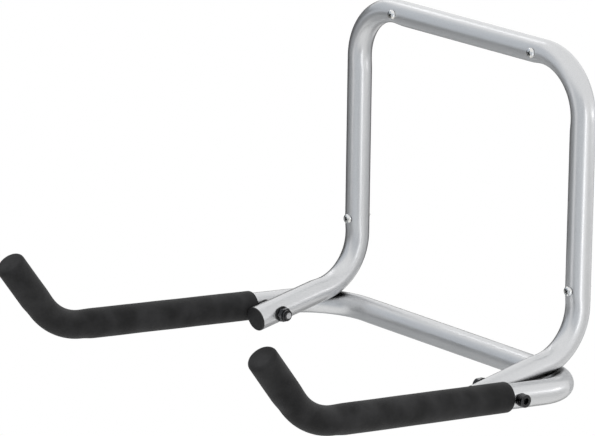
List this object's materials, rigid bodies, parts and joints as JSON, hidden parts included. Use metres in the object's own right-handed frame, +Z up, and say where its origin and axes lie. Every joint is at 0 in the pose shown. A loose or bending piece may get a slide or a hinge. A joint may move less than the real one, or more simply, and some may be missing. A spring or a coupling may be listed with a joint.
{
  "type": "bicycle wall rack",
  "caption": "Folding wall rack of bent round tube: an inverted-U wall frame with forward feet, and a hinged U of arms with upturned foam-covered hooks that hold bicycles off the wall.",
  "frame": {"origin": "on the wall, midway between the two upper wall screws", "axes": "+X to the right along the wall as seen from the room, +Y into the wall, +Z up"},
  "size_m": [0.4274, 0.4504, 0.3407],
  "materials": {
    "silver_paint": "satin metallic silver powder coat on steel tube",
    "black_foam": "matte closed-cell foam",
    "black_plastic": "moulded, fine matte",
    "black_steel": "black oxide, slightly oiled",
    "bright_zinc": "bright zinc plate",
    "nylon": "moulded nylon"
  },
  "bodies": {
    "wall": {"wall_frame": "silver_paint", "leg_plug_left": "black_plastic", "leg_plug_right": "black_plastic", "pivot_bolt_left": "black_steel", "pivot_bolt_right": "black_steel", "pivot_spacer_left": "black_plastic", "pivot_spacer_right": "black_plastic", "nut_washer_left": "black_plastic", "nut_washer_right": "black_plastic", "lock_nut_left": "black_steel", "lock_nut_right": "black_steel", "nut_ring_left": "nylon", "nut_ring_right": "nylon", "wall_screw_upper_left": "bright_zinc", "wall_screw_upper_right": "bright_zinc", "wall_screw_lower_left": "bright_zinc", "wall_screw_lower_right": "bright_zinc"},
    "arms": {"arm_frame": "silver_paint", "grip_left": "black_foam", "grip_right": "black_foam"}
  },
  "joints": [
    {"name": "arm_fold", "type": "hinge", "parent": "wall", "child": "arms", "pos_m": [0, -0.12255, -0.30679], "axis": [-1, 0, 0], "range_deg": [0, 92]}
  ]
}
